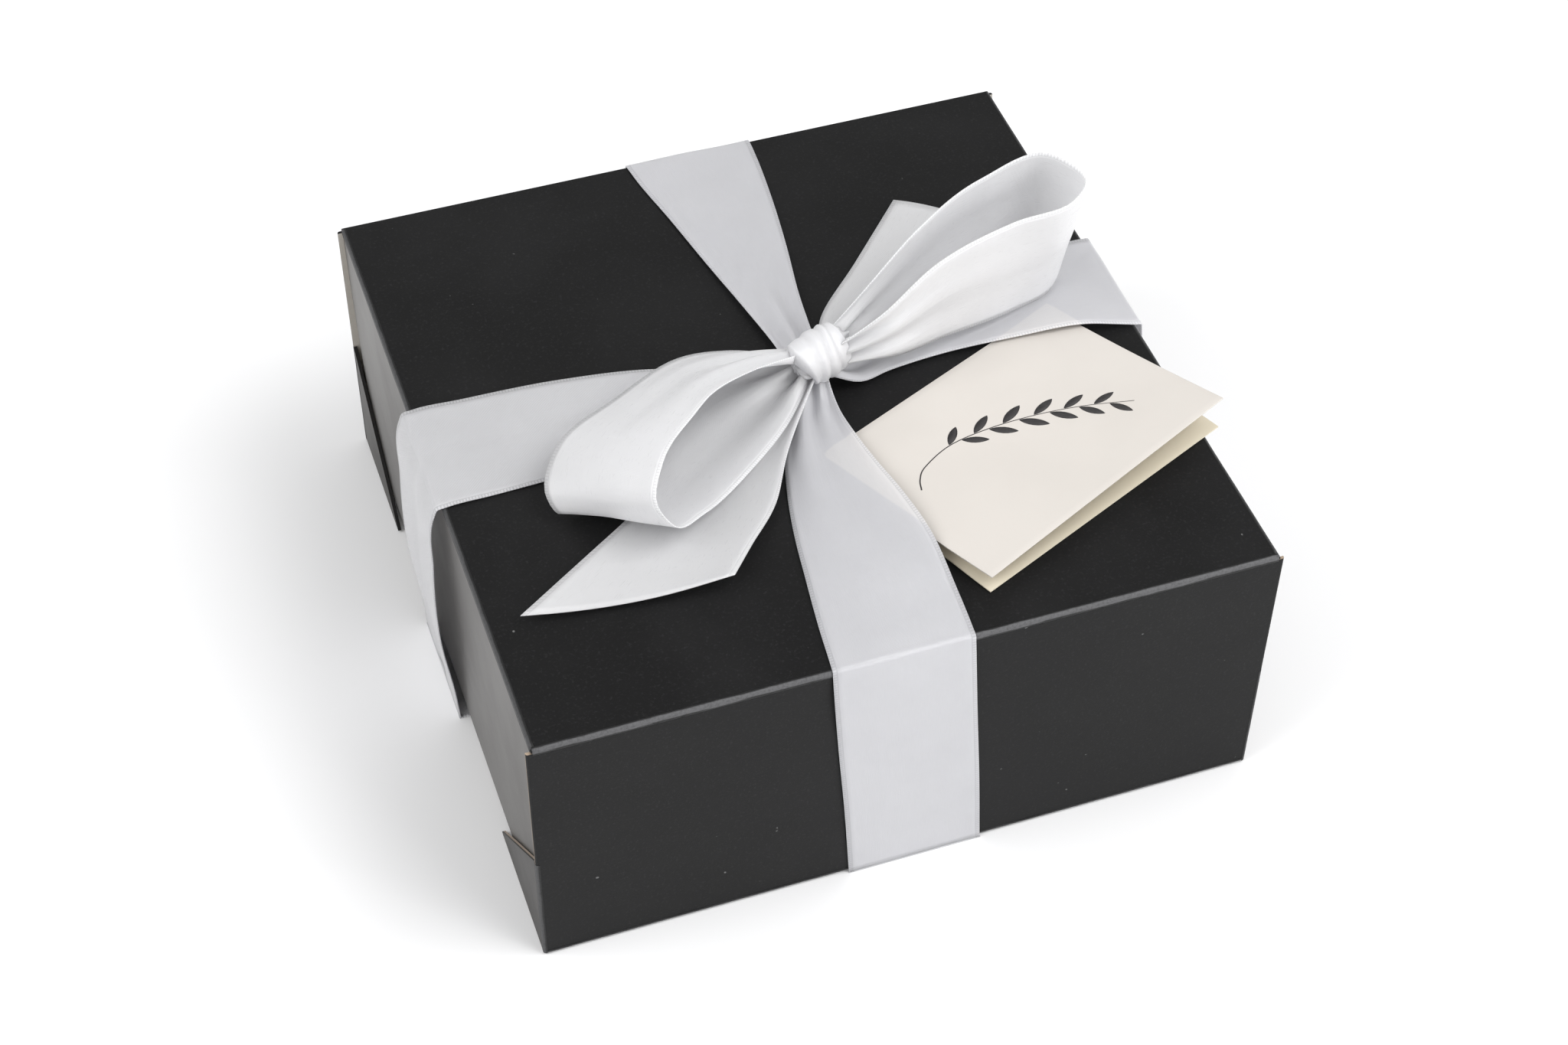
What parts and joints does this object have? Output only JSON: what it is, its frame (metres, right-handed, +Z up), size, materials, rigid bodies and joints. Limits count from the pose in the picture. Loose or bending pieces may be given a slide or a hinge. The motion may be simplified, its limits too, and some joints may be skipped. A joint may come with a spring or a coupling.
{
  "type": "gift box",
  "caption": "Square folding-carton gift box with a hinged lid and tuck flap, tied with a flat satin ribbon and bow, and a small folded card tucked under the ribbon.",
  "frame": {"origin": "middle of the underside, where the lengthwise ribbon touches the surface the box stands on", "axes": "+Z up, +X to the right along the lid's hinge side, +Y from the hinge side to the opening side"},
  "size_m": [0.207, 0.2046, 0.1257],
  "materials": {
    "board": "matte coated",
    "ribbon": "satin",
    "card": "uncoated"
  },
  "bodies": {
    "carton": {"base_panel": "board", "hinge_wall": "board", "far_wall": "board", "left_side_wall": "board", "right_side_wall": "board", "left_dust_flap": "board", "right_dust_flap": "board", "corner_tab_near_left": "board", "corner_tab_near_right": "board", "corner_tab_far_left": "board", "corner_tab_far_right": "board", "ribbon_underside_lengthwise": "ribbon", "ribbon_underside_left": "ribbon", "ribbon_underside_right": "ribbon"},
    "lid": {"lid_panel": "board", "lid_left_flap": "board", "lid_right_flap": "board"},
    "tuck_flap": {"lid_tuck_flap": "board"},
    "ribbon": {"ribbon_near_top_run": "ribbon", "ribbon_far_top_run": "ribbon", "ribbon_left_top_run": "ribbon", "ribbon_right_top_run": "ribbon", "ribbon_near_wall_run": "ribbon", "ribbon_far_wall_run": "ribbon", "ribbon_left_wall_run": "ribbon", "ribbon_right_wall_run": "ribbon", "bow_knot": "ribbon", "bow_left_loop": "ribbon", "bow_right_loop": "ribbon", "bow_left_tail": "ribbon", "bow_right_tail": "ribbon"},
    "card": {"card_back_leaf": "card"},
    "card_front": {"card_front_leaf": "card"}
  },
  "joints": [
    {"name": "lid_hinge", "type": "hinge", "parent": "carton", "child": "lid", "pos_m": [0, -0.1015, 0.0854], "axis": [1, 0, 0], "range_deg": [0, 105]},
    {"name": "tuck_fold", "type": "hinge", "parent": "lid", "child": "tuck_flap", "pos_m": [0, 0.0987, 0.08425], "axis": [1, 0, 0], "range_deg": [-40, 0]},
    {"name": "ribbon_lift", "type": "slide", "parent": "carton", "child": "ribbon", "axis": [0, 0, 1], "range_m": [0, 0.4]},
    {"name": "card_pull", "type": "slide", "parent": "ribbon", "child": "card", "axis": [0.4072, -0.9134, 0], "range_m": [0, 0.11]},
    {"name": "card_fold", "type": "hinge", "parent": "card", "child": "card_front", "pos_m": [-0.0015, -0.0315, 0.08625], "axis": [-0.9134, -0.4072, 0], "range_deg": [-1, 30]}
  ],
  "couplings": [
    {"joint": "tuck_fold", "follows": "lid_hinge", "ratio": -0.35},
    {"joint": "ribbon_lift", "follows": "lid_hinge", "m_per_rad": 0.215},
    {"joint": "card_fold", "follows": "card_pull", "rad_per_m": 4.4}
  ]
}
